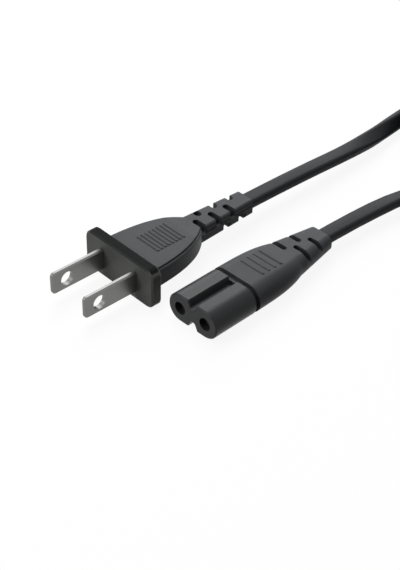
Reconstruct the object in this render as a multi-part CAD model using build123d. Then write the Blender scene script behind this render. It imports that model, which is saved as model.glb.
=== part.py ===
from build123d import *
import math
import os

# A two-blade mains plug and a figure-eight appliance connector, moulded onto the two ends of one
# flat two-core cord. Millimetres. +X runs from the blades and the nose towards the cord, +Y from
# the connector to the plug, +Z up. The origin is on the floor under the middle of plug and
# connector.

# Plug: blades.
blade_pitch = 12.7
blade_width = 6.35
blade_thickness = 1.5
blade_length = 16.5
blade_corner = 1.1
blade_bevel = 0.4
blade_hole_radius = 1.98
blade_hole_from_face = 11.9
tang_width = 3.4
blade_shoulder = 2.3
tang_end = 8.4

# Plug: moulding.
flange_width = 26.0
flange_height = 11.6
flange_thickness = 3.2
flange_corner = 2.4
flange_edge = 0.4
body_half_width = 9.9
body_length = 25.2
body_shoulder_x = 20.0
body_shoulder_y = 8.4
body_straight = 8.8
body_half_height = 3.05
body_crease_x = 20.8
body_rear_half_height = 2.6
body_edge = 0.2
ledge_width = 0.6
ledge_depth = 0.5
relief_end = 44.5
relief_start_half_width = 3.9
relief_wall = 0.65
relief_end_half_height = 2.3
relief_edge = 0.9
relief_groove = 0.18
relief_groove_width = 0.3
relief_groove_z = 0.6
grip_rib_count = 8
grip_rib_pitch = 1.27
grip_rib_start = 10.0
grip_rib_length = 8.2
rib_height = 0.26
rib_width = 0.76
rib_slope = 0.2

# Plug: slots of the strain relief, a near row on the connector's side and a far row. An end is
# measured from the plug's middle, and below zero lies past it.
slot_width = 1.9
far_slot_mouth = 0.4
slot_floor = 0.1
slots_in_row = 3
near_slot_first = 26.2
near_slot_pitch = 5.4
near_slot_end = -0.5
far_slot_first = 29.0
far_slot_pitch = 5.75
far_slot_end = 0.9
window_length = 2.6

# Plug: what the moulding holds.
bridge_front = 1.0
bridge_step = 2.7
bridge_rear = 7.4
bridge_side_wall = 0.7
bridge_flange_wall = 1.3
bridge_body_wall = 0.8

# Connector.
nose_width = 16.65
nose_height = 8.2
nose_length = 14.0
nose_edge = 0.3
notch_width = 3.3
notch_floor = 1.3
notch_depth = 2.0
socket_pitch = 8.6
socket_outer_radius = 1.55
socket_bore_radius = 1.22
socket_start = 2.0
socket_length = 10.6
socket_slit = 0.4
mouth_radius = 1.8
mouth_depth = 1.6
groove_width = 1.4
groove_depth = 0.9
root_length = 6.0
root_beyond_pins = 5.0
root_height = 5.6
root_lock_width = 1.6
root_lock_depth = 1.0
connector_end = 47.0
connector_mid = 27.0
connector_mid_width = 15.5
connector_mid_height = 7.7
connector_neck = 33.0
connector_neck_width = 12.8
connector_neck_height = 6.5
connector_end_width = 7.9
connector_end_height = 4.8
connector_side_share = 0.96
connector_end_side_share = 0.8
connector_rib_count = 4
connector_rib_pitch = 2.2
connector_rib_start = 21.0
connector_rib_length = 7.8
connector_slot_width = 1.6
connector_slot_first = 33.6
connector_slot_pitch = 2.75
connector_slot_count = 4
connector_slot_end = 0.1
connector_slot_floor = 0.4
connector_under_floor = 1.7

# Cord, its cores and their crimps.
cord_width = 4.9
cord_thickness = 2.8
core_radius = 1.02
core_gap = 0.1
strand_radius = 0.6
crimp_radius = 1.25
socket_crimp_radius = 1.05
crimp_length = 3.6
crimp_slit = 0.3
plug_jacket_start = 24.6
connector_jacket_start = 31.0
core_lead = 1.4
core_crotch = 0.8

# Where plug, connector and the tied hank lie.
connector_x = 2.5
connector_y = -24.9
connector_yaw = 1.7
hank_left = 128.0
hank_straight = 80.0
hank_lane_y = 5.0
hank_outer_radius = 23.0
hank_laps = 4.5
hank_lane_step = 3.12
hank_waist = 12.5
tie_thickness = 0.8
tie_width = 5.0
tail_radius = 1.1
tail_length = 9.0

# What follows from the sizes above.
core_pitch = 2 * core_radius + core_gap
relief_end_half_width = cord_width / 2 + relief_wall
bridge_half_width = body_half_width - bridge_side_wall
bridge_front_height = flange_height - 2 * bridge_flange_wall
bridge_rear_height = 2 * (body_half_height - bridge_body_wall)
root_width = socket_pitch + root_beyond_pins
connector_flat = nose_height / 2 - 0.05

# The plug lies on its flange, the connector on the first of the ribs on its underside.
plug_axis_z = flange_height / 2
connector_axis_z = connector_flat + rib_height


def box(x0, x1, y0, y1, z0, z1):
    """Block between two corners."""
    block = Box(x1 - x0, y1 - y0, z1 - z0)
    return Pos((x0 + x1) / 2, (y0 + y1) / 2, (z0 + z1) / 2) * block


def rod(x0, x1, y, z, radius):
    """Round bar along X."""
    bar = Cylinder(radius, x1 - x0, rotation=(0, 90, 0))
    return Pos((x0 + x1) / 2, y, z) * bar


def flat_section(at, towards):
    """Cross-section of the flat cord, its width level, square to the direction it runs."""
    side = Vector(0, 0, 1).cross(towards)
    plane = Plane(origin=at, x_dir=side, z_dir=towards)
    return plane * SlotOverall(cord_width, cord_thickness)


def slot_cutter(width, mouth, half_width, end, floor):
    """Cutter for a slot that crosses the top from near the middle to the far side. Both its end
    and its floor are round, and its mouth is bevelled where it leaves the moulding."""
    half = width / 2
    centre = end + half
    outside = half_width + 1
    low = floor + half
    plan = Pos(0, centre) * Circle(half)
    plan += Pos(0, (centre + outside) / 2) * Rectangle(width, outside - centre)
    wide = half + mouth + 1
    half_mouth = Polygon((0, half_width - mouth), (half, half_width - mouth), (wide, outside),
                         (0, outside), align=None)
    cutter = extrude(Pos(0, 0, low) * (plan + half_mouth + mirror(half_mouth, Plane.YZ)), 6)
    cutter += Pos(0, (centre + outside) / 2, low) * Cylinder(half, outside - centre, rotation=(90, 0, 0))
    return cutter + Pos(0, 0, low) * revolve(half_mouth, Axis.Y)


def mould_slot(x, cutter, under_cutter, side):
    """One slot on top, on the far or the near side, and under it the same turned half round."""
    both = cutter + Rot(180, 0, 0) * under_cutter
    if side < 0:
        both = mirror(both, Plane.XZ)
    return Pos(x, 0, 0) * both


def mould_window(x):
    """The first far slot stops short of the side, so it is a window; one more is underneath."""
    middle = far_slot_end + window_length / 2
    window = Rot(0, 0, 90) * SlotOverall(window_length, slot_width)
    cutter = extrude(Pos(x, middle, slot_floor) * window, 6)
    return cutter + Rot(180, 0, 0) * cutter


def cord_channel(x0, x1):
    """Straight stretch of the flat cord inside a moulding."""
    section = Plane(origin=(x0, 0, 0), x_dir=(0, 1, 0), z_dir=(1, 0, 0))
    return extrude(section * SlotOverall(cord_width, cord_thickness), x1 - x0)


def crotch(jacket_x):
    """Small hollow where the two cores part at the end of the jacket."""
    half = core_pitch / 4
    return box(jacket_x - core_crotch, jacket_x, -half, half, -core_radius, core_radius)


def core(crimp_x, bend_x, crimp_y, jacket_x):
    """Insulated core: straight out of its crimp, slanting inwards, and beside the other core
    where it enters the jacket."""
    path = Polyline(
        (crimp_x, crimp_y, 0),
        (bend_x, crimp_y, 0),
        (jacket_x - core_lead, core_pitch / 2, 0),
        (jacket_x, core_pitch / 2, 0),
    )
    section = Plane(origin=(crimp_x, crimp_y, 0), z_dir=(1, 0, 0)) * Circle(core_radius)
    return sweep(section, path=path, transition=Transition.RIGHT)


def crimp_barrel(x0, y, radius):
    """Crimp barrel, rolled from strip, with its seam on top."""
    barrel = rod(x0, x0 + crimp_length, y, 0, radius)
    barrel -= rod(x0, x0 + crimp_length, y, 0, strand_radius)
    half = crimp_slit / 2
    return barrel - box(x0, x0 + crimp_length, y - half, y + half, 0, radius)


# Plug blades.
def plug_blade(y):
    """Flat blade with a drilled hole, a narrow tang through the bridge and a crimp barrel."""
    half = blade_width / 2
    edge = blade_thickness / 2
    blade = box(-blade_length, blade_shoulder, -edge, edge, -half, half)
    tip = blade.edges().filter_by(Axis.Y).group_by(Axis.X)[0]
    blade = fillet(tip, blade_corner)
    blade = chamfer(blade.faces().sort_by(Axis.X)[0].edges(), blade_bevel)
    blade -= Pos(-blade_hole_from_face, 0, 0) * Cylinder(blade_hole_radius, 6, rotation=(90, 0, 0))
    blade += box(blade_shoulder, tang_end, -edge, edge, -tang_width / 2, tang_width / 2)
    blade = Pos(0, y, 0) * blade
    return blade + crimp_barrel(tang_end, y, crimp_radius)


blade_left = plug_blade(blade_pitch / 2)
blade_right = plug_blade(-blade_pitch / 2)

# Hard bridge that holds both blades at their pitch while the plug is moulded round it. Its
# front half fills the flange and its rear half is as thin as the body allows.
bridge = box(bridge_front, bridge_step, -bridge_half_width, bridge_half_width,
             -bridge_front_height / 2, bridge_front_height / 2)
bridge = fillet(bridge.edges().filter_by(Axis.X), 1.0)
bridge += box(bridge_step, bridge_rear, -bridge_half_width + 0.6, bridge_half_width - 0.6,
              -bridge_rear_height / 2, bridge_rear_height / 2)
bridge -= box(4.2, bridge_rear, -2.6, 2.6, -bridge_rear_height, bridge_rear_height)
bridge -= blade_left + blade_right

# Bare strands in the crimps and the insulated cores behind them.
plug_core_x = tang_end + crimp_length + 0.6
strand_left = rod(tang_end, plug_core_x, blade_pitch / 2, 0, strand_radius)
strand_right = rod(tang_end, plug_core_x, -blade_pitch / 2, 0, strand_radius)
core_left = core(plug_core_x, plug_core_x + core_lead, blade_pitch / 2, plug_jacket_start)
core_right = mirror(core_left, Plane.XZ)

# Plug moulding.
# Seen from above, the body keeps its width behind the flange and then draws in with one long
# curve to the shoulder of the strain relief. Seen from the side, it is level to a crease and then
# thins towards the cord. A narrow ledge runs along both long edges of its top and its underside.
def body_block(inset, lower):
    """The body's outline drawn in by one size and its top and underside lowered by another."""
    start_x = flange_thickness - 1
    side_start = (start_x, body_half_width - inset)
    side_hold = (flange_thickness + body_straight, body_half_width - inset)
    side_pull = (body_shoulder_x, body_shoulder_y - inset)
    side_stop = (body_length, relief_start_half_width - inset)
    side_curve = Bezier(side_start, side_hold, side_pull, side_stop)
    front_line = Line((start_x, 0), side_start)
    rear_line = Line(side_stop, (body_length, 0))
    axis_line = Line((body_length, 0), (start_x, 0))
    half_plan = make_face([front_line, side_curve, rear_line, axis_line])
    plan = half_plan + mirror(half_plan, Plane.XZ)
    half_side = Polygon(
        (start_x, 0),
        (start_x, body_half_height - lower),
        (body_crease_x, body_half_height - lower),
        (body_length, body_rear_half_height - lower),
        (body_length, 0),
        align=None,
    )
    side_view = Plane.XZ * (half_side + mirror(half_side, Plane.XZ))
    block = extrude(plan, 8, both=True) & extrude(side_view, 20, both=True)
    long_edges = [e for e in block.edges() if e.length > 3 and abs(e.center().Y) > 1]
    return chamfer(long_edges, body_edge)


body = body_block(0, ledge_depth) + body_block(ledge_width, 0)


def relief_section(x, half_width, half_height):
    """Rounded box across the strain relief."""
    plane = Plane(origin=(x, 0, 0), x_dir=(0, 1, 0), z_dir=(1, 0, 0))
    return plane * RectangleRounded(2 * half_width, 2 * half_height, relief_edge)


relief = loft([
    relief_section(body_length - 2, relief_start_half_width, body_rear_half_height),
    relief_section(relief_end, relief_end_half_width, relief_end_half_height),
])


def across(x):
    """Plane square to the length of plug or connector, its x along Y."""
    return Plane(origin=(x, 0, 0), x_dir=(0, 1, 0), z_dir=(1, 0, 0))


def side_groove(beyond, depth):
    """Slab along the relief, that far wider than its sides less the groove's depth."""
    start = relief_start_half_width + beyond - depth
    stop = relief_end_half_width + beyond - depth
    return loft([
        across(body_length - 2) * Pos(0, relief_groove_z) * Rectangle(2 * start, relief_groove_width),
        across(relief_end + 1) * Pos(0, relief_groove_z) * Rectangle(2 * stop, relief_groove_width),
    ])


# A fine groove runs along each side of the relief, where its upper half meets its lower half.
relief -= side_groove(1, 0) - side_groove(0, relief_groove)

flange = box(0, flange_thickness, -flange_width / 2, flange_width / 2,
             -flange_height / 2, flange_height / 2)
flange = fillet(flange.edges().filter_by(Axis.X), flange_corner)
flange = chamfer(flange.faces().filter_by(Axis.X).edges(), flange_edge)

plug = flange + body + relief


def relief_half_width(x):
    """Half width of the strain relief at that place."""
    share = (x - body_length) / (relief_end - body_length)
    return relief_start_half_width + share * (relief_end_half_width - relief_start_half_width)


plug -= mould_window(far_slot_first)
for i in range(slots_in_row):
    x = near_slot_first + i * near_slot_pitch
    cutter = slot_cutter(slot_width, 0, relief_half_width(x), near_slot_end, slot_floor)
    plug -= mould_slot(x, cutter, cutter, -1)
for i in range(1, slots_in_row):
    x = far_slot_first + i * far_slot_pitch
    cutter = slot_cutter(slot_width, far_slot_mouth, relief_half_width(x), far_slot_end, slot_floor)
    plug -= mould_slot(x, cutter, cutter, 1)


def grip_rib(x, length, height):
    """Low rib across the top with sloping sides and ends, and one like it underneath."""
    rib = box(x - rib_width / 2, x + rib_width / 2, -length / 2, length / 2,
              height - rib_slope, height + rib_height)
    rib = chamfer(rib.faces().sort_by(Axis.Z)[-1].edges(), rib_slope)
    return rib + mirror(rib, Plane.XY)


for i in range(grip_rib_count):
    plug += grip_rib(grip_rib_start + i * grip_rib_pitch, grip_rib_length, body_half_height)

plug -= cord_channel(plug_jacket_start, relief_end)
plug -= crotch(plug_jacket_start)
for held in (blade_left, blade_right, strand_left, strand_right, core_left, core_right, bridge):
    plug -= held

# Connector nose.
# The figure eight: a slot-shaped outline with a notch in the middle of its top and its underside.
notch = Polygon(
    (-notch_width / 2, nose_height / 2),
    (notch_width / 2, nose_height / 2),
    (notch_floor / 2, nose_height / 2 - notch_depth),
    (-notch_floor / 2, nose_height / 2 - notch_depth),
    align=None,
)
eight = SlotOverall(nose_width, nose_height) - notch - mirror(notch, Plane.XZ)
floor_corners = [v for v in eight.vertices()
                 if abs(abs(v.Y) - (nose_height / 2 - notch_depth)) < 0.01]
eight = fillet(floor_corners, 0.45)
nose = extrude(across(0) * eight, nose_length)
nose = chamfer(nose.faces().sort_by(Axis.X)[0].edges(), nose_edge)

# Behind it a waist for the groove, then the root that the moulding grips, with a locking rim.
waist = SlotOverall(nose_width - 2 * groove_depth, nose_height - 2 * groove_depth)
nose += extrude(across(nose_length) * waist, groove_width)
root_start = nose_length + groove_width
root = RectangleRounded(root_width, root_height, 1.5)
nose += extrude(across(root_start) * root, root_length)
lock = RectangleRounded(root_width - 2 * root_lock_depth, root_height - 2 * root_lock_depth, 1.0)
ring = extrude(across(root_start + 2) * root, root_lock_width)
nose -= ring - extrude(across(root_start + 2) * lock, root_lock_width)

# Each socket is rolled from spring strip, with a slit along it and a crimp barrel at its end.
socket_stop = socket_start + socket_length
socket_neck = 1.0
crimp_x = socket_stop + socket_neck


def socket(y):
    """Socket for a round pin of the appliance inlet."""
    tube = rod(socket_start, socket_stop, y, 0, socket_outer_radius)
    tube = chamfer(tube.faces().sort_by(Axis.X)[-1].edges(), 0.15)
    tube -= rod(socket_start, socket_stop - 0.3, y, 0, socket_bore_radius)
    half = socket_slit / 2
    tube -= box(socket_start, socket_stop - 1.5, y - half, y + half, 0, 3)
    return tube + rod(socket_stop, crimp_x, y, 0, 0.8) + crimp_barrel(crimp_x, y, socket_crimp_radius)


socket_left = socket(socket_pitch / 2)
socket_right = socket(-socket_pitch / 2)
connector_core_x = crimp_x + crimp_length + 0.6
root_end = root_start + root_length
for y in (socket_pitch / 2, -socket_pitch / 2):
    nose -= rod(0, socket_stop, y, 0, socket_outer_radius)
    nose -= rod(socket_stop, connector_core_x, y, 0, socket_crimp_radius)
    nose -= rod(connector_core_x, root_end, y, 0, core_radius)
    nose -= rod(0, mouth_depth, y, 0, mouth_radius)

connector_strand_left = rod(crimp_x, connector_core_x, socket_pitch / 2, 0, strand_radius)
connector_strand_right = rod(crimp_x, connector_core_x, -socket_pitch / 2, 0, strand_radius)


# These cores run straight on until they are clear of the nose's root.
connector_bend_x = root_end + core_lead
connector_core_left = core(connector_core_x, connector_bend_x, socket_pitch / 2,
                           connector_jacket_start)
connector_core_right = mirror(connector_core_left, Plane.XZ)

# Connector moulding.
def hull(x, width, height, side_share):
    """Section of the connector's body, with sides rounded by that share of its half height."""
    return across(x) * RectangleRounded(width, height, side_share * height / 2)


front_body = loft([
    hull(root_start, nose_width, nose_height, 0.99),
    hull(22.0, nose_width - 0.4, 2 * connector_flat, connector_side_share),
    hull(connector_mid, connector_mid_width, connector_mid_height, connector_side_share),
    hull(connector_neck, connector_neck_width, connector_neck_height, connector_side_share),
])
rear_body = loft([
    hull(connector_neck, connector_neck_width, connector_neck_height, connector_side_share),
    hull(connector_end, connector_end_width, connector_end_height, connector_end_side_share),
])
connector = front_body + rear_body

for i in range(connector_slot_count):
    x = connector_slot_first + i * connector_slot_pitch
    share = (x - connector_neck) / (connector_end - connector_neck)
    half_width = (connector_neck_width + share * (connector_end_width - connector_neck_width)) / 2
    cutter = slot_cutter(connector_slot_width, 0, half_width,
                         connector_slot_end, connector_slot_floor)
    under_cutter = slot_cutter(connector_slot_width, 0, half_width,
                               connector_slot_end, connector_under_floor)
    connector -= mould_slot(x, cutter, under_cutter, -1 if i % 2 else 1)

for i in range(connector_rib_count):
    x = connector_rib_start + i * connector_rib_pitch
    share = max(0.0, (x - 22) / (connector_mid - 22))
    height = connector_flat + share * (connector_mid_height / 2 - connector_flat)
    connector += grip_rib(x, connector_rib_length, height)

connector -= cord_channel(connector_jacket_start, connector_end)
connector -= crotch(connector_jacket_start)
connector -= extrude(across(root_start) * root, root_length)
connector += (ring - extrude(across(root_start + 2) * lock, root_lock_width))
for held in (connector_core_left, connector_core_right):
    connector -= held

# Places.
plug_place = Location((0, 0, plug_axis_z))
connector_place = Location((connector_x, connector_y, connector_axis_z), (0, 0, connector_yaw))

nodes = {
    "plug_housing": plug_place * plug,
    "plug_bridge": plug_place * bridge,
    "plug_blade_left": plug_place * blade_left,
    "plug_blade_right": plug_place * blade_right,
    "plug_strand_left": plug_place * strand_left,
    "plug_strand_right": plug_place * strand_right,
    "plug_core_left": plug_place * core_left,
    "plug_core_right": plug_place * core_right,
    "connector_housing": connector_place * connector,
    "connector_nose": connector_place * nose,
    "socket_left": connector_place * socket_left,
    "socket_right": connector_place * socket_right,
    "connector_strand_left": connector_place * connector_strand_left,
    "connector_strand_right": connector_place * connector_strand_right,
    "connector_core_left": connector_place * connector_core_left,
    "connector_core_right": connector_place * connector_core_right,
}
own = Compound(children=[Compound(children=n.solids()) for n in nodes.values()]).bounding_box()
shift = Location((-own.center().X, -own.center().Y, -own.min.Z))

# Cord.
# The cord stands on its edge in the hank, in two layers: it comes in from the plug at the bottom,
# winds inwards, steps up and winds outwards to leave for the connector on top.
lower_z = tie_thickness + cord_width / 2
upper_z = lower_z + cord_width
hank_mid_y = hank_lane_y - hank_outer_radius
near_lane_y = hank_mid_y - hank_outer_radius


def along_connector(x):
    """Point on the connector's own axis."""
    turn = math.radians(connector_yaw)
    return (connector_x + x * math.cos(turn), connector_y + x * math.sin(turn), connector_axis_z)


plug_route = [
    (plug_jacket_start, 0, plug_axis_z),
    (60, 0, plug_axis_z),
    (91, 0.1, 4.0),
    (112, 3.0, lower_z + 0.1),
    (hank_left, hank_lane_y, lower_z),
]
connector_route = [
    along_connector(connector_jacket_start),
    along_connector(76.0),
    (100, -31.5, 3.0),
    (114, -38.3, upper_z - 2.2),
    (hank_left, near_lane_y, upper_z),
]


def tube(name, route):
    """Flat cord along straight runs joined by arcs as wide as the runs allow."""
    points = [Vector(*p) for p in route]
    radii = []
    for a, b, c in zip(points, points[1:], points[2:]):
        turn = math.radians((b - a).get_angle(c - b))
        run = min((b - a).length, (c - b).length)
        radii.append(0.45 * run / math.tan(turn / 2))
    print(name, "arc radii", [round(r, 1) for r in radii])
    path = FilletPolyline(*points, radius=radii)
    solid = sweep(flat_section(points[0], points[1] - points[0]), path=path)
    section = math.pi * cord_thickness**2 / 4 + (cord_width - cord_thickness) * cord_thickness
    print(name, "length", round(path.length, 1), "volume", round(solid.volume / section, 1))
    return solid


cord_plug_end = tube("cord_plug_end", plug_route)
cord_connector_end = tube("cord_connector_end", connector_route)


def waisted(radius):
    """Outline of the hank at one lane: round ends and long sides drawn in by the tie."""
    right = hank_left + hank_straight
    middle = (hank_left + right) / 2
    top, bottom = hank_mid_y + radius, hank_mid_y - radius
    ahead = [(1, 0), (1, 0), (1, 0)]
    upper = Spline((hank_left, top), (middle, top - hank_waist), (right, top), tangents=ahead)
    round_right = ThreePointArc((right, top), (right + radius, hank_mid_y), (right, bottom))
    lower = Spline((hank_left, bottom), (middle, bottom + hank_waist), (right, bottom), tangents=ahead)
    round_left = ThreePointArc((hank_left, bottom), (hank_left - radius, hank_mid_y), (hank_left, top))
    return make_face([upper, round_right, lower, round_left])


inner_radius = hank_outer_radius - hank_lane_step * hank_laps / 2
ring_face = waisted(hank_outer_radius + cord_thickness / 2) - waisted(inner_radius - cord_thickness / 2)
hank = extrude(Pos(0, 0, tie_thickness) * ring_face, 2 * cord_width)
hank -= cord_plug_end
hank -= cord_connector_end

# The tie goes once round the waist and is twisted together on top.
tie_x = hank_left + hank_straight / 2
waist_half = hank_outer_radius + cord_thickness / 2 - hank_waist
tie_plane = Plane(origin=(tie_x - tie_width / 2, hank_mid_y, tie_thickness + cord_width),
                  x_dir=(0, 1, 0), z_dir=(1, 0, 0))
tie_outer = RectangleRounded(2 * (waist_half + tie_thickness), 2 * (cord_width + tie_thickness), 0.9)
tie_inner = Rectangle(2 * waist_half, 2 * cord_width)
tie = extrude(tie_plane * (tie_outer - tie_inner), tie_width)
tie_top = tie_thickness + 2 * cord_width + tie_thickness
tail = Pos(tie_x, hank_mid_y + tail_length / 2, tie_top + tail_radius * 0.8)
tie += tail * Cylinder(tail_radius, tail_length, rotation=(90, 0, 0))
tie -= hank

nodes["cord_plug_end"] = cord_plug_end
nodes["cord_connector_end"] = cord_connector_end
nodes["cord_hank"] = hank
nodes["hank_tie"] = tie

os.makedirs("parts", exist_ok=True)
for name, solid in nodes.items():
    placed = shift * solid
    export_step(placed, f"parts/{name}.step")
    pieces = placed.solids()
    print(name, len(pieces), "solid(s)", round(sum(p.volume for p in pieces), 1), "mm3")
print("shift", [round(v, 3) for v in shift.position])
print("own box", [round(v, 3) for v in own.size])
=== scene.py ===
import math

import bpy
from mathutils import Matrix, Vector


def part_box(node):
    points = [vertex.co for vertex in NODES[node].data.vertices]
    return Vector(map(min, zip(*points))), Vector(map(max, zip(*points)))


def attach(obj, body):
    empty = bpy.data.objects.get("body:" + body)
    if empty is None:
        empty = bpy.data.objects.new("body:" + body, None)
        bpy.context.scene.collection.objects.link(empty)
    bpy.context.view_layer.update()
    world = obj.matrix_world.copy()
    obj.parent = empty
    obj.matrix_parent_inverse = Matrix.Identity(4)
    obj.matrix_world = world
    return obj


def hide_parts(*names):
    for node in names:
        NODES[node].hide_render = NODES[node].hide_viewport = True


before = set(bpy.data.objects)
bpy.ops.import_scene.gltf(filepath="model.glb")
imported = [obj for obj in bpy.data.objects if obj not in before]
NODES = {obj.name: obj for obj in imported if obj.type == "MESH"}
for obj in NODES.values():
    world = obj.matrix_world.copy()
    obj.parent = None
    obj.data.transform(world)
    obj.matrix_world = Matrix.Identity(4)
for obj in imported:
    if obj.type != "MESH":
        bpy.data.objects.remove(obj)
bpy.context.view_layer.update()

bl_info = {
    "name": "Power cord",
    "version": (1, 0, 0),
    "blender": (4, 5, 0),
    "location": "View3D > Sidebar > Power cord",
    "description": "Two-blade plug, figure-eight connector and the flat cord between them",
    "category": "Object",
}

MM = 0.001

# The plug's own place in the frame: the front face of its flange, and its axis.
PLUG_LOW, PLUG_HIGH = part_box("plug_housing")
PLUG_X = PLUG_LOW[0]
PLUG_Y = (PLUG_LOW[1] + PLUG_HIGH[1]) / 2

# Where the flange's painted light and shade end and the body's vinyl begins, in millimetres behind
# the flange's face.
FLANGE_BACK = 3.25
# How strongly each vinyl mirrors: weakly, because its fine moulded texture scatters the light.
VINYL_SHINE = 0.09
# The flange's long edges mirror less still, along with their painted shade.
BAND_SHINE = 0.01
NOSE_SHINE = 0.16
# Patterns in millimetres: the soft clouds in a metal's tone and the pitch of the draw lines on
# extruded vinyl. Lines along a part have these shares of their scale across it.
METAL_CLOUDS = 5
DRAW_LINES = 0.5
ROLLED_ALONG = 0.04
DRAWN_ALONG = 0.03
# Edges sharper than this stay crisp on the swept pieces.
SMOOTH_ANGLE = math.radians(40)

# The route of the cord, as it lies: from inside the plug's strain relief to the hank, and from
# inside the connector's to the hank, in millimetres from the plug's face and axis.
PLUG_ROUTE = [(24.6, 0, 5.8), (60, 0, 5.8), (91, 0.1, 4.0), (112, 3.0, 3.35), (128, 5.0, 3.25)]
CONNECTOR_ROUTE = [(33.49, -23.98, 4.31), (78.47, -22.65, 4.31), (100, -31.5, 3.0),
                   (114, -38.3, 5.95), (128, -41.0, 8.15)]
# Millimetres of cord before it turns from lying flat onto its edge, and while it turns.
FLAT_FROM_PLUG = 56
FLAT_FROM_CONNECTOR = 36
TWIST_LENGTH = 45

# The hank in millimetres: the line of its far outermost lane, the middle height of its lower
# layer, the step up to the upper one, and how much higher the lanes lie where the tie is.
HANK_FAR_SIDE = 5.0
LOWER_LAYER = 2.45
LAYER_STEP = 4.95
TIE_LIFT = 0.7
# Nine half turns, wound inwards and out again. The cord changes layer in half a turn.
HALF_TURNS = 9
INMOST_TURN = HALF_TURNS / 4
CHANGEOVER_TURNS = 0.5
# Where a lane's control points lie along it, and how many steps a round end has.
LANE_SHARES = (0.1, 0.3, 0.5, 0.7, 0.9)
ROUND_STEPS = 6
# The smooth line cuts inside its control points: it reaches these shares of waist and round end.
WAIST_REACHED = 0.914
ROUND_REACHED = 0.966

# The tie's band in millimetres: its film, its wire, the room that it keeps from the lanes, its
# height under them, the bend at its corners, and half the slope from one layer to the other.
TIE_FILM = 0.25
BAND_WIRE = 0.32
BAND_ROOM = 0.35
BAND_LOW = 0.4
BAND_BEND = 1.5
BAND_SLOPE = 1.2
# Where the band's ends meet on top: half the gap between them, how high they rise, and how far
# from the middle they begin to.
END_GAP = 0.6
END_RISE = 0.5
END_FOOT = 3
# Its two tails in millimetres: wire, start above the band, then the length, height and climb of
# the line that they wind round, the radius of the twist and how far they part at their ends.
TAIL_WIRE = 0.3
TAIL_START = 0.6
TAIL_LENGTH = 9.5
TAIL_HEIGHT = 0.9
TAIL_CLIMB = 0.2
TAIL_RADIUS = 0.45
TAIL_PARTING = 2.6
# Their turns, the share of their length that is twisted, and their width as a share of the band's.
TAIL_TURNS = 2.5
TAIL_TWISTED = 0.72
TAIL_WIDTH_SHARE = 0.42
# How steeply the loose ends rise as they part, and how soon they point away from each other.
TAIL_RISE = 0.15
TAIL_TURN_AWAY = 1.5
TAIL_STEPS = 60

# The studio: the floor's size in metres and its grey, how white it is shown round the object, and
# from where to where it rises to white, in millimetres.
FLOOR_SIZE = 6
FLOOR_GREY = 0.11
FLOOR_GLOW = 0.91
GLOW_RISES = 350
GLOW_FULL = 1000
ROOM_GREY = (0.055, 0.055, 0.057, 1)
WHITE = (1, 1, 1, 1)
# The camera: lens and sensor in millimetres, place in metres, and turns in degrees, of which the
# last is made first.
CAMERA_LENS = 88.42
CAMERA_SENSOR = 36
CAMERA_SPOT = (-0.194262, -0.207439, 0.22154)
CAMERA_TURNS = ((-43.47, "Z"), (51.82, "X"), (1.13, "Z"))


def place(x, y, z):
    """Point in the frame, from millimetres behind the flange's face, beside the plug's axis
    and above the floor."""
    return Vector((PLUG_X + x * MM, PLUG_Y + y * MM, z * MM))


def linear(hex_colour):
    """An sRGB hex colour as linear red, green and blue."""
    channels = [int(hex_colour[i:i + 2], 16) / 255 for i in (1, 3, 5)]
    return [c / 12.92 if c <= 0.04045 else ((c + 0.055) / 1.055) ** 2.4 for c in channels]


def colour_setting(name, description, hex_colour):
    """A colour that the user can change."""
    return bpy.props.FloatVectorProperty(
        name=name, description=description, subtype="COLOR", size=3,
        min=0, max=1, default=linear(hex_colour))


def length_setting(name, description, millimetres):
    """A length that the user can change, kept in metres."""
    return bpy.props.FloatProperty(
        name=name, description=description, subtype="DISTANCE", unit="LENGTH",
        min=0, precision=5, default=millimetres * MM)


class CordSetColours(bpy.types.PropertyGroup):
    """Colours of the mouldings, the metal and the cord."""
    vinyl: colour_setting("Vinyl", "Soft black vinyl of both mouldings", "#4a4b4e")
    # Painted light: the flange's face is lighter than the body's vinyl.
    flange: colour_setting("Flange face", "Textured face of the flange", "#666865")
    # Painted light: the flange's short ends, picked out by facing sideways, are lighter still.
    flange_end_painted_light: colour_setting("Flange ends", "Coarser texture on the flange's short ends",
                               "#7f827c")
    # Painted shade: the flange's long edges, the faces that point up or down, are dark.
    band: colour_setting("Flange band", "Smooth band along the flange's long edges", "#242625")
    nose: colour_setting("Nose", "Hard moulding of the figure-eight nose", "#343537")
    nickel: colour_setting("Nickel", "Plating of the blades", "#777776")
    jacket: colour_setting("Jacket", "Extruded jacket of the flat cord", "#2c2d2f")
    tie: colour_setting("Tie", "Film of the twist tie", "#2b2c2e")
    bronze: colour_setting("Bronze", "Spring bronze of the sockets", "#b08a5a")
    copper: colour_setting("Copper", "Bare strands in the crimps", "#b4704c")
    nylon: colour_setting("Nylon", "Bridge that holds the blades", "#d8d3c6")
    core: colour_setting("Core", "Insulation of the single cores", "#222325")


class CordSetSizes(bpy.types.PropertyGroup):
    """Sizes of the cord, its hank and the tie."""
    cord_width: length_setting("Cord width", "Across both cores", 4.9)
    cord_thickness: length_setting("Cord thickness", "Across one core", 2.8)
    cord_corner: length_setting("Cord corner", "Rounding of the jacket's edges", 1.0)
    cord_length: length_setting("Cord length", "From plug to connector", 1580)
    hank_left: length_setting("Hank start", "Behind the flange's face", 128)
    hank_straight: length_setting("Hank straight", "Length of the straight lanes", 80)
    hank_radius: length_setting("Hank radius", "Outermost lane at the round ends", 23)
    lane_step: length_setting("Lane step", "From one lane to the next", 3.12)
    waist: length_setting("Waist", "How far the tie draws the lanes in", 12.5)
    tie_width: length_setting("Tie width", "Width of the twist tie", 4.2)


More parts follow.
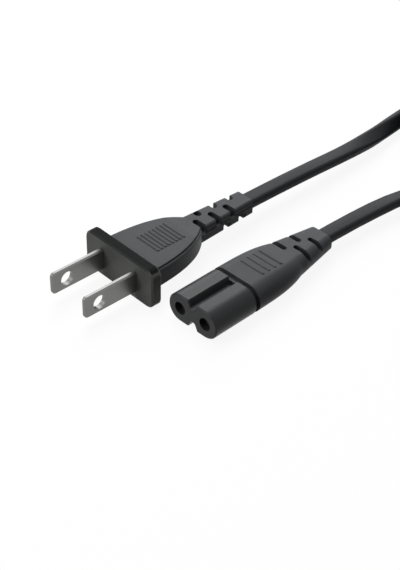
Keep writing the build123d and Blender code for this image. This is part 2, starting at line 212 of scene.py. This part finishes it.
def add(material, kind, inputs=(), **settings):
    """Adds a node with its settings; its inputs are set or linked."""
    tree = material.node_tree
    node = tree.nodes.new("ShaderNode" + kind)
    for name, value in settings.items():
        setattr(node, name, value)
    for socket, value in dict(inputs).items():
        if isinstance(value, bpy.types.NodeSocket):
            tree.links.new(value, node.inputs[socket])
        else:
            node.inputs[socket].default_value = value
    return node


def new_material(name, **shader):
    """Empty material with a Principled shader whose constants are set on its own sockets."""
    material = bpy.data.materials.new(name)
    material.use_nodes = True
    material.node_tree.nodes.clear()
    shader = {key.replace("_", " "): value for key, value in shader.items()}
    principled = add(material, "BsdfPrincipled", shader)
    add(material, "OutputMaterial", {"Surface": principled.outputs[0]})
    return material, principled


def link(material, output, principled, socket):
    """Links a node's output to a socket of the shader."""
    material.node_tree.links.new(output, principled.inputs[socket])


def grain(material, principled, source, size, depth, roughness, spread):
    """Fine moulded or extruded grain: bump of that depth, and gloss that varies with it.
    Size and depth are in millimetres."""
    fine = add(material, "TexNoise", {"Vector": source, "Scale": 1 / (size * MM), "Detail": 3.0,
                                      "Roughness": 0.55})
    bump = add(material, "Bump", {"Height": fine.outputs[0], "Strength": 0.6,
                                  "Distance": depth * MM})
    link(material, bump.outputs[0], principled, "Normal")
    gloss = add(material, "MapRange", {"Value": fine.outputs[0], "From Min": 0.3, "From Max": 0.7,
                                       "To Min": roughness - spread, "To Max": roughness + spread})
    link(material, gloss.outputs[0], principled, "Roughness")


def mottled(material, source, first, second, size):
    """Two near colours that change over patches of that size in millimetres."""
    patches = add(material, "TexNoise", {"Vector": source, "Scale": 1 / (size * MM), "Detail": 2.0})
    spread = add(material, "MapRange", {"Value": patches.outputs[0], "From Min": 0.35,
                                        "From Max": 0.65})
    return add(material, "Mix", {"Factor": spread.outputs[0], "A": first, "B": second},
               data_type="RGBA").outputs["Result"]


def shade(colour, factor=1):
    """A colour made lighter or darker, with an alpha of one."""
    return [min(1.0, c * factor) for c in colour] + [1.0]


def paint_flange_light_and_shade(material, principled, source, body, colours, flange_back):
    """Painted light and shade on the plug's flange, in front of the body's vinyl: its face is
    lighter and greyer than the body, painted light; its short ends, picked out by facing sideways,
    are lighter still, painted light; and its long edges, facing up or down, are dark, painted
    shade."""
    where = add(material, "SeparateXYZ", {"Vector": source})
    on_flange = add(material, "Math", {0: where.outputs[0], 1: flange_back},
                    operation="LESS_THAN").outputs[0]
    facing = add(material, "SeparateXYZ",
                 {"Vector": add(material, "NewGeometry").outputs["True Normal"]})
    # Painted shade: faces that point up or down, the flange's long edges, get a dark colour and
    # mirror less.
    level = add(material, "Math", {0: facing.outputs[2]}, operation="ABSOLUTE")
    band = add(material, "MapRange", {"Value": level.outputs[0], "From Min": 0.55,
                                      "From Max": 0.75}).outputs[0]
    # Painted light: faces that point sideways, the flange's short ends, get a lighter colour still.
    sideways = add(material, "Math", {0: facing.outputs[1]}, operation="ABSOLUTE")
    ends = add(material, "MapRange", {"Value": sideways.outputs[0], "From Min": 0.5,
                                      "From Max": 0.9}).outputs[0]
    # Painted light: the flange's face is lighter than the body's vinyl.
    face = mottled(material, source, shade(colours.flange, 0.94), shade(colours.flange, 1.06),
                   size=5)
    flange = add(material, "Mix", {"Factor": ends, "A": face, "B": shade(colours.flange_end_painted_light)},
                 data_type="RGBA").outputs["Result"]
    flange = add(material, "Mix", {"Factor": band, "A": flange, "B": shade(colours.band)},
                 data_type="RGBA").outputs["Result"]
    on_painted_shade = add(material, "Math", {0: on_flange, 1: band}, operation="MULTIPLY")
    shine = add(material, "MapRange", {"Value": on_painted_shade.outputs[0], "To Min": VINYL_SHINE,
                                       "To Max": BAND_SHINE})
    link(material, shine.outputs[0], principled, "Specular IOR Level")
    return add(material, "Mix", {"Factor": on_flange, "A": body, "B": flange},
               data_type="RGBA").outputs["Result"]


def vinyl_material(name, colours, flange_back=None):
    """Soft vinyl (PVC) from an injection mould with spark-eroded walls: to the eye a matt black
    that greys where light falls on it from above, with a grain too fine to see singly."""
    material, principled = new_material(name, IOR=1.53, Specular_IOR_Level=VINYL_SHINE)
    source = add(material, "TexCoord").outputs["Object"]
    base = mottled(material, source, shade(colours.vinyl, 0.95), shade(colours.vinyl, 1.05),
                   size=6)
    # On the plug, painted light and shade go over the flange.
    if flange_back is not None:
        base = paint_flange_light_and_shade(material, principled, source, base, colours, flange_back)
    link(material, base, principled, "Base Color")
    grain(material, principled, source, size=0.3, depth=0.012, roughness=0.42, spread=0.05)
    return material


def nose_material(name, colours):
    """Hard vinyl of the nose, moulded in a smoother tool: a little glossier than the soft body."""
    material, principled = new_material(name, IOR=1.54, Specular_IOR_Level=NOSE_SHINE)
    source = add(material, "TexCoord").outputs["Object"]
    base = mottled(material, source, shade(colours.nose, 0.95), shade(colours.nose, 1.05), size=7)
    link(material, base, principled, "Base Color")
    grain(material, principled, source, size=0.35, depth=0.006, roughness=0.34, spread=0.04)
    return material


def metal_material(name, colour, roughness, lines):
    """Plated brass and bronze strip or drawn copper: a soft satin gloss with faint lines along it
    from rolling or drawing, ten times coarser than real ones so that they show close by. Their
    pitch is given in millimetres."""
    material, principled = new_material(name, Metallic=1.0)
    source = add(material, "TexCoord").outputs["Object"]
    stretched = add(material, "Mapping", {"Vector": source, "Scale": (ROLLED_ALONG, 1.0, 1.0)})
    rolled = add(material, "TexNoise", {"Vector": stretched.outputs[0], "Scale": 1 / (lines * MM),
                                        "Detail": 2.0})
    cloud = add(material, "TexNoise", {"Vector": source, "Scale": 1 / (METAL_CLOUDS * MM),
                                       "Detail": 2.0})
    tone = add(material, "Mix", {"Factor": cloud.outputs[0], "A": shade(colour, 0.9),
                                 "B": shade(colour, 1.08)}, data_type="RGBA")
    link(material, tone.outputs["Result"], principled, "Base Color")
    gloss = add(material, "MapRange", {"Value": rolled.outputs[0], "From Min": 0.3, "From Max": 0.7,
                                       "To Min": roughness - 0.03, "To Max": roughness + 0.03})
    link(material, gloss.outputs[0], principled, "Roughness")
    bump = add(material, "Bump", {"Height": rolled.outputs[0], "Strength": 0.2,
                                  "Distance": 0.001 * MM})
    link(material, bump.outputs[0], principled, "Normal")
    return material


def plain_plastic(name, colour, roughness):
    """Moulded nylon or extruded core insulation inside the mouldings, with a faint grain."""
    material, principled = new_material(name, IOR=1.5)
    source = add(material, "TexCoord").outputs["Object"]
    base = mottled(material, source, shade(colour, 0.94), shade(colour, 1.04), size=3)
    link(material, base, principled, "Base Color")
    grain(material, principled, source, size=0.4, depth=0.005, roughness=roughness, spread=0.04)
    return material


def jacket_material(name, colour, uv_name):
    """Extruded vinyl, of the cord's jacket or the tie's film: satin, with faint draw lines along
    it from the die."""
    material, principled = new_material(name, IOR=1.53, Specular_IOR_Level=VINYL_SHINE)
    along = add(material, "UVMap", uv_map=uv_name).outputs[0]
    drawn = add(material, "Mapping", {"Vector": along, "Scale": (DRAWN_ALONG, 1.0, 1.0)})
    lines = add(material, "TexNoise", {"Vector": drawn.outputs[0], "Scale": 1 / (DRAW_LINES * MM),
                                       "Detail": 3.0})
    source = add(material, "TexCoord").outputs["Object"]
    base = mottled(material, source, shade(colour, 0.94), shade(colour, 1.06), size=9)
    link(material, base, principled, "Base Color")
    bump = add(material, "Bump", {"Height": lines.outputs[0], "Strength": 0.5,
                                  "Distance": 0.02 * MM})
    link(material, bump.outputs[0], principled, "Normal")
    gloss = add(material, "MapRange", {"Value": lines.outputs[0], "From Min": 0.3, "From Max": 0.7,
                                       "To Min": 0.4, "To Max": 0.5})
    link(material, gloss.outputs[0], principled, "Roughness")
    return material


def finish_node(name, material):
    """Gives a CAD node its finish."""
    for slot in NODES[name].material_slots:
        slot.material = material


def only_select(piece):
    """Selects one object and makes it active."""
    bpy.ops.object.select_all(action="DESELECT")
    piece.select_set(True)
    bpy.context.view_layer.objects.active = piece


def travelled_along(centres):
    """How far along a line each of its points lies."""
    travelled = [0.0]
    for a, b in zip(centres, centres[1:]):
        travelled.append(travelled[-1] + (b - a).length)
    return travelled


def headings(centres):
    """Direction of a line at each of its points, from the point before to the one after."""
    last = len(centres) - 1
    return [(centres[min(i + 1, last)] - centres[max(i - 1, 0)]).normalized()
            for i in range(last + 1)]


def eased(value):
    """A value kept from 0 to 1, with a gentle start and end."""
    share = min(1.0, max(0.0, value))
    return share * share * (3 - 2 * share)


def swept(name, centres, widths, ups, profile, uv_name):
    """Mesh that carries a closed outline along a line of points and closes both ends. Each
    outline point is given across the width and up; the UV map holds metres along and around."""
    around = [0.0]
    for a, b in zip(profile, profile[1:] + profile[:1]):
        around.append(around[-1] + math.dist(a, b))
    along = travelled_along(centres)
    count = len(profile)
    vertices = []
    for centre, wide, up in zip(centres, widths, ups):
        for across, high in profile:
            vertices.append(centre + wide * across + up * high)
    faces = []
    for i in range(len(centres) - 1):
        for j in range(count):
            k = (j + 1) % count
            faces.append((i * count + j, i * count + k, (i + 1) * count + k, (i + 1) * count + j))
    last = (len(centres) - 1) * count
    faces.append(tuple(range(count - 1, -1, -1)))
    faces.append(tuple(last + j for j in range(count)))
    mesh = bpy.data.meshes.new(name)
    mesh.from_pydata(vertices, [], faces)
    layer = mesh.uv_layers.new(name=uv_name)
    for face in mesh.polygons[:-2]:
        ring, j = divmod(face.index, count)
        corners = ((ring, j), (ring, j + 1), (ring + 1, j + 1), (ring + 1, j))
        for loop, (r, c) in zip(face.loop_indices, corners):
            layer.data[loop].uv = (along[r], around[c])
    piece = bpy.data.objects.new(name, mesh)
    bpy.context.collection.objects.link(piece)
    only_select(piece)
    bpy.ops.object.mode_set(mode="EDIT")
    bpy.ops.mesh.select_all(action="SELECT")
    bpy.ops.mesh.normals_make_consistent(inside=False)
    bpy.ops.object.mode_set(mode="OBJECT")
    bpy.ops.object.shade_smooth_by_angle(angle=SMOOTH_ANGLE)
    return piece


def line_points(name, controls, resolution):
    """Points along a NURBS line through the route's control points, read back from Blender."""
    curve = bpy.data.curves.new(name, "CURVE")
    curve.dimensions = "3D"
    spline = curve.splines.new("NURBS")
    spline.points.add(len(controls) - 1)
    for control, spot in zip(spline.points, controls):
        control.co = (*spot, 1.0)
    spline.order_u = 3
    spline.use_endpoint_u = True
    spline.resolution_u = resolution
    carrier = bpy.data.objects.new(name, curve)
    bpy.context.collection.objects.link(carrier)
    bpy.context.view_layer.update()
    line = bpy.data.meshes.new_from_object(carrier)
    points = [vertex.co.copy() for vertex in line.vertices]
    bpy.data.objects.remove(carrier)
    bpy.data.curves.remove(curve)
    bpy.data.meshes.remove(line)
    return points


def flat_profile(width, thickness, corner, steps):
    """Outline of the flat cord: four flats and four rounded corners."""
    outline = []
    for quarter, (side, level) in enumerate(((1, 1), (-1, 1), (-1, -1), (1, -1))):
        for i in range(steps + 1):
            turn = math.radians(90 * (quarter + i / steps))
            outline.append((side * (width / 2 - corner) + corner * math.cos(turn),
                            level * (thickness / 2 - corner) + corner * math.sin(turn)))
    return outline


def hank_middle(sizes):
    """Millimetres from the plug's axis to the hank's middle line."""
    return HANK_FAR_SIDE - sizes.hank_radius / MM


def lane_reach(sizes, turn):
    """Millimetres from the hank's middle line to the lane of a turn, where the ends are round."""
    return (sizes.hank_radius - sizes.lane_step * (INMOST_TURN - abs(turn - INMOST_TURN))) / MM


def layer_height(turn):
    """Height of a turn's lane: the cord changes layer in its innermost turn."""
    return LOWER_LAYER + LAYER_STEP * eased((turn - INMOST_TURN) / CHANGEOVER_TURNS + 0.5)


def hank_points(sizes):
    """Control points of the hank: lanes drawn in by the tie and round turns at both ends. The
    cord winds inwards in one layer, changes over in the innermost turn and winds out again."""
    left = sizes.hank_left / MM
    right = left + sizes.hank_straight / MM
    waist = sizes.waist / MM
    middle = hank_middle(sizes)
    points = []
    for half in range(HALF_TURNS + 1):
        far = half % 2 == 0
        side = 1 if far else -1
        for share in LANE_SHARES:
            drawn = 0.5 - 0.5 * math.cos(2 * math.pi * share)
            x = left + (right - left) * (share if far else 1 - share)
            y = middle + side * (lane_reach(sizes, half / 2) - waist * drawn)
            points.append((x, y, layer_height(half / 2) + TIE_LIFT * drawn))
        if half == HALF_TURNS:
            break
        for i in range(ROUND_STEPS + 1):
            turn = half / 2 + i / (2 * ROUND_STEPS)
            angle = math.radians(side * 90 - 180 * i / ROUND_STEPS)
            reach = lane_reach(sizes, turn) / (ROUND_REACHED if 0 < i < ROUND_STEPS else 1.0)
            x = (right if far else left) + reach * math.cos(angle)
            points.append((x, middle + reach * math.sin(angle), layer_height(turn)))
    return points


class CORDSET_OT_cord(bpy.types.Operator):
    """Lays the flat cord from the plug through the hank to the connector"""
    bl_idname = "cordset.cord"
    bl_label = "Flat cord"

    def execute(self, context):
        sizes = context.scene.cordset_sizes
        colours = context.scene.cordset_colours
        route = PLUG_ROUTE + hank_points(sizes) + CONNECTOR_ROUTE[::-1]
        centres = line_points("cord_line", [place(*spot) for spot in route], resolution=8)
        travelled = travelled_along(centres)
        widths, ups = [], []
        for gone, ahead in zip(travelled, headings(centres)):
            level = Vector((0, 0, 1)).cross(ahead).normalized()
            raised = ahead.cross(level)
            # The cord lies flat at both ends and is on its edge in the hank.
            past_flat = min(gone - FLAT_FROM_PLUG * MM,
                            travelled[-1] - gone - FLAT_FROM_CONNECTOR * MM)
            twist = math.pi / 2 * eased(past_flat / (TWIST_LENGTH * MM))
            widths.append(level * math.cos(twist) + raised * math.sin(twist))
            ups.append(raised * math.cos(twist) - level * math.sin(twist))
        profile = flat_profile(sizes.cord_width, sizes.cord_thickness, sizes.cord_corner, steps=4)
        cord = swept("flat_cord", centres, widths, ups, profile, "along_cord")
        cord.data.materials.append(jacket_material("extruded_vinyl_jacket", colours.jacket,
                                                   "along_cord"))
        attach(cord, "root")
        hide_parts("cord_plug_end", "cord_connector_end", "cord_hank")
        return {"FINISHED"}


def ribbon_profile(width, film, wire):
    """Outline of a twist tie: thin film with the bulge of its wire in the middle."""
    half = width / 2
    bulge = []
    for degrees in range(-80, 81, 20):
        turn = math.radians(degrees)
        bulge.append((wire * math.sin(turn), wire * math.cos(turn)))
    upper = [(-half, film / 2)] + bulge + [(half, film / 2)]
    lower = [(-x, -y) for x, y in upper]
    return upper[::-1] + lower[::-1]


def band_loop(sizes, high):
    """Control points of the tie's band round the waist, in millimetres across the hank from its
    middle line and above the floor. Its ends rise where they meet on top."""
    low = BAND_LOW
    changeover = LOWER_LAYER + LAYER_STEP / 2 + TIE_LIFT

    def outside(turn):
        """Where the film lies against the outermost lane of one side and layer."""
        drawn_in = (sizes.cord_thickness / 2 - WAIST_REACHED * sizes.waist) / MM
        return lane_reach(sizes, turn) + drawn_in + BAND_ROOM

    far_low, near_low = outside(0), -outside(0.5)
    far_high, near_high = outside(HALF_TURNS / 2 - 0.5), -outside(HALF_TURNS / 2)
    return [(END_GAP, high + END_RISE), (END_FOOT, high),
            (far_high - BAND_BEND, high), (far_high, high), (far_high, high - BAND_BEND),
            (far_high, changeover + BAND_SLOPE), (far_low, changeover - BAND_SLOPE),
            (far_low, low + BAND_BEND), (far_low, low), (far_low - BAND_BEND, low),
            (0, low),
            (near_low + BAND_BEND, low), (near_low, low), (near_low, low + BAND_BEND),
            (near_low, changeover - BAND_SLOPE), (near_high, changeover + BAND_SLOPE),
            (near_high, high - BAND_BEND), (near_high, high), (near_high + BAND_BEND, high),
            (-END_FOOT, high), (-END_GAP, high + END_RISE)]


def tie_tail(side, start, width):
    """One of the tie's two tails: twisted round the other, and bent away from it at the end."""
    spots, wide, raised = [], [], []
    for i in range(TAIL_STEPS + 1):
        share = i / TAIL_STEPS
        angle = math.pi * side + share * math.pi * 2 * TAIL_TURNS
        loose = max(0.0, share - TAIL_TWISTED) / (1 - TAIL_TWISTED)
        radius = (TAIL_RADIUS + TAIL_PARTING * loose * loose) * MM
        spin = Vector((math.cos(angle), 0, math.sin(angle)))
        apart = Vector((1 if side else -1, 0, TAIL_RISE)).normalized()
        spread = spin.lerp(apart, min(1.0, loose * TAIL_TURN_AWAY)).normalized()
        lift = Vector((0, TAIL_LENGTH * MM * share, TAIL_HEIGHT * MM + TAIL_CLIMB * MM * share))
        spots.append(start + lift + spread * radius)
        wide.append(spin.cross(Vector((0, 1, 0))).normalized())
        raised.append(spin)
    profile = ribbon_profile(width, TIE_FILM * MM, TAIL_WIRE * MM)
    return swept(f"tie_tail_{side + 1}", spots, wide, raised, profile, "along_tie")


class CORDSET_OT_tie(bpy.types.Operator):
    """Wraps the twist tie round the hank's waist and twists its ends together"""
    bl_idname = "cordset.tie"
    bl_label = "Twist tie"

    def execute(self, context):
        sizes = context.scene.cordset_sizes
        colours = context.scene.cordset_colours
        middle_x = (sizes.hank_left + sizes.hank_straight / 2) / MM
        middle_y = hank_middle(sizes)
        # The upper lanes' tops are as far above their middle as the floor is below the lower one.
        high = LOWER_LAYER + LAYER_STEP + LOWER_LAYER + TIE_LIFT + BAND_ROOM
        loop = [place(middle_x, middle_y + y, z) for y, z in band_loop(sizes, high)]
        centres = line_points("tie_line", loop, resolution=6)
        across = Vector((1, 0, 0))
        ups = [across.cross(ahead).normalized() for ahead in headings(centres)]
        profile = ribbon_profile(sizes.tie_width, TIE_FILM * MM, BAND_WIRE * MM)
        band = swept("tie_band", centres, [across] * len(centres), ups, profile, "along_tie")
        start = place(middle_x, middle_y, high + TAIL_START)
        tails = [tie_tail(side, start, sizes.tie_width * TAIL_WIDTH_SHARE) for side in (0, 1)]
        bpy.ops.object.select_all(action="DESELECT")
        for piece in [band] + tails:
            piece.select_set(True)
        bpy.context.view_layer.objects.active = band
        bpy.ops.object.join()
        band.name = "twist_tie"
        band.data.materials.clear()
        band.data.materials.append(jacket_material("twist_tie_film", colours.tie, "along_tie"))
        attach(band, "root")
        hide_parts("hank_tie")
        return {"FINISHED"}


class CORDSET_OT_mouldings(bpy.types.Operator):
    """Finishes the soft mouldings of plug and connector and the hard nose"""
    bl_idname = "cordset.mouldings"
    bl_label = "Mouldings"

    def execute(self, context):
        colours = context.scene.cordset_colours
        # The plug's flange carries painted light and shade in its vinyl.
        finish_node("plug_housing", vinyl_material("moulded_vinyl_plug", colours,
                                                   PLUG_X + FLANGE_BACK * MM))
        finish_node("connector_housing", vinyl_material("moulded_vinyl_connector", colours))
        finish_node("connector_nose", nose_material("moulded_hard_vinyl_nose", colours))
        return {"FINISHED"}


class CORDSET_OT_metal(bpy.types.Operator):
    """Finishes blades, sockets and bare strands"""
    bl_idname = "cordset.metal"
    bl_label = "Metal parts"

    def execute(self, context):
        colours = context.scene.cordset_colours
        nickel = metal_material("nickel_plated_brass", colours.nickel, roughness=0.36, lines=0.35)
        bronze = metal_material("rolled_spring_bronze", colours.bronze, roughness=0.36, lines=0.3)
        copper = metal_material("bare_copper_strands", colours.copper, roughness=0.4, lines=0.12)
        for side in ("left", "right"):
            finish_node(f"plug_blade_{side}", nickel)
            finish_node(f"socket_{side}", bronze)
            finish_node(f"plug_strand_{side}", copper)
            finish_node(f"connector_strand_{side}", copper)
        return {"FINISHED"}


class CORDSET_OT_inside(bpy.types.Operator):
    """Finishes the bridge and the insulated cores inside the mouldings"""
    bl_idname = "cordset.inside"
    bl_label = "Inner parts"

    def execute(self, context):
        colours = context.scene.cordset_colours
        bridge = plain_plastic("moulded_nylon_bridge", colours.nylon, roughness=0.45)
        core = plain_plastic("extruded_core_insulation", colours.core, roughness=0.42)
        finish_node("plug_bridge", bridge)
        for side in ("left", "right"):
            finish_node(f"plug_core_{side}", core)
            finish_node(f"connector_core_{side}", core)
        return {"FINISHED"}


def shown_white(material):
    """Share of the rays that show the surroundings white: the camera's, and those of reflections
    and through glass. The rest carry the room's own light."""
    rays = add(material, "LightPath")
    seen = add(material, "Math", {0: rays.outputs["Is Camera Ray"],
                                  1: rays.outputs["Is Glossy Ray"]}, operation="MAXIMUM")
    return add(material, "Math", {0: seen.outputs[0], 1: rays.outputs["Is Transmission Ray"]},
               operation="MAXIMUM").outputs[0]


def floor_material(name):
    """Matt studio floor: it scatters light as a mid grey, and to the camera and in reflections
    it is lifted to white, fully so away from the object, but for the soft shadow round it."""
    material = bpy.data.materials.new(name)
    material.use_nodes = True
    material.node_tree.nodes.clear()
    source = add(material, "TexCoord").outputs["Object"]
    away = add(material, "VectorMath", {0: source}, operation="LENGTH").outputs["Value"]
    lift = add(material, "MapRange", {"Value": away, "From Min": GLOW_RISES * MM,
                                      "From Max": GLOW_FULL * MM, "To Min": FLOOR_GLOW,
                                      "To Max": 1.0})
    strength = add(material, "Math", {0: shown_white(material), 1: lift.outputs[0]},
                   operation="MULTIPLY")
    matt = add(material, "BsdfDiffuse", {"Color": (FLOOR_GREY, FLOOR_GREY, FLOOR_GREY, 1)})
    white = add(material, "Emission", {"Strength": strength.outputs[0]})
    both = add(material, "AddShader", {0: matt.outputs[0], 1: white.outputs[0]})
    add(material, "OutputMaterial", {"Surface": both.outputs[0]})
    return material


def area_light(name, spot, aim, size, power):
    """Square soft light that points at a spot. Its size is in metres, its power in watts."""
    bpy.ops.object.select_all(action="DESELECT")
    bpy.ops.object.light_add(type="AREA", location=spot)
    lamp = bpy.context.object
    lamp.name = name
    lamp.rotation_euler = (Vector(aim) - Vector(spot)).to_track_quat("-Z", "Y").to_euler()
    lamp.data.shape = "SQUARE"
    lamp.data.size = size
    lamp.data.energy = power


class CORDSET_OT_stage(bpy.types.Operator):
    """Sets up floor, lights, surroundings and camera"""
    bl_idname = "cordset.stage"
    bl_label = "Studio"

    def execute(self, context):
        scene = context.scene
        bpy.ops.object.select_all(action="DESELECT")
        bpy.ops.mesh.primitive_plane_add(size=FLOOR_SIZE, location=(0, 0, 0))
        floor = context.object
        floor.name = "studio_floor"
        floor.data.materials.append(floor_material("studio_floor_paper"))

        world = bpy.data.worlds.new("studio_surroundings")
        scene.world = world
        world.use_nodes = True
        world.node_tree.nodes.clear()
        room = add(world, "Background", {"Color": ROOM_GREY})
        white = add(world, "Background", {"Color": WHITE})
        sky = add(world, "MixShader", {0: shown_white(world), 1: room.outputs[0],
                                       2: white.outputs[0]})
        add(world, "OutputWorld", {"Surface": sky.outputs[0]})

        area_light("overhead_softbox", spot=(0.1, 0.3, 0.85), aim=(0.02, 0.0, 0.0),
                   size=0.6, power=4.2)
        area_light("rear_softbox", spot=(0.75, 0.75, 0.75), aim=(0.02, 0.0, 0.0),
                   size=0.8, power=6.0)
        area_light("left_softbox", spot=(-0.7, 0.3, 0.5), aim=(0.0, 0.0, 0.0),
                   size=0.6, power=2.8)

        camera_data = bpy.data.cameras.new("camera")
        camera_data.sensor_width = CAMERA_SENSOR
        camera_data.lens = CAMERA_LENS
        camera_data.clip_start = 0.01
        camera_data.clip_end = 20
        camera = bpy.data.objects.new("camera", camera_data)
        context.collection.objects.link(camera)
        turn = Matrix.Identity(4)
        for degrees, axis in CAMERA_TURNS:
            turn = turn @ Matrix.Rotation(math.radians(degrees), 4, axis)
        camera.matrix_world = Matrix.Translation(CAMERA_SPOT) @ turn
        scene.camera = camera
        scene.view_settings.view_transform = "Standard"
        return {"FINISHED"}


class CORDSET_PT_panel(bpy.types.Panel):
    """Lists the steps, sizes and colours of the power cord"""
    bl_idname = "CORDSET_PT_panel"
    bl_label = "Power cord"
    bl_space_type = "VIEW_3D"
    bl_region_type = "UI"
    bl_category = "Power cord"

    def draw(self, context):
        layout = self.layout
        for operator in OPERATORS:
            layout.operator(operator.bl_idname)
        for group in (context.scene.cordset_sizes, context.scene.cordset_colours):
            box = layout.box()
            for name in group.__annotations__:
                box.prop(group, name)


OPERATORS = (
    CORDSET_OT_mouldings,
    CORDSET_OT_metal,
    CORDSET_OT_inside,
    CORDSET_OT_cord,
    CORDSET_OT_tie,
    CORDSET_OT_stage,
)
CLASSES = (CordSetColours, CordSetSizes) + OPERATORS + (CORDSET_PT_panel,)


def register():
    """Registers every class and puts both groups of settings on the scene."""
    for item in CLASSES:
        bpy.utils.register_class(item)
    bpy.types.Scene.cordset_colours = bpy.props.PointerProperty(type=CordSetColours)
    bpy.types.Scene.cordset_sizes = bpy.props.PointerProperty(type=CordSetSizes)


def unregister():
    """Takes the settings and the classes away again."""
    del bpy.types.Scene.cordset_sizes
    del bpy.types.Scene.cordset_colours
    for item in reversed(CLASSES):
        bpy.utils.unregister_class(item)


def main():
    """Builds the pieces and the stage."""
    register()
    bpy.ops.cordset.mouldings()
    bpy.ops.cordset.metal()
    bpy.ops.cordset.inside()
    bpy.ops.cordset.cord()
    bpy.ops.cordset.tie()
    bpy.ops.cordset.stage()
    bpy.context.view_layer.update()


if __name__ == "__main__":
    main()
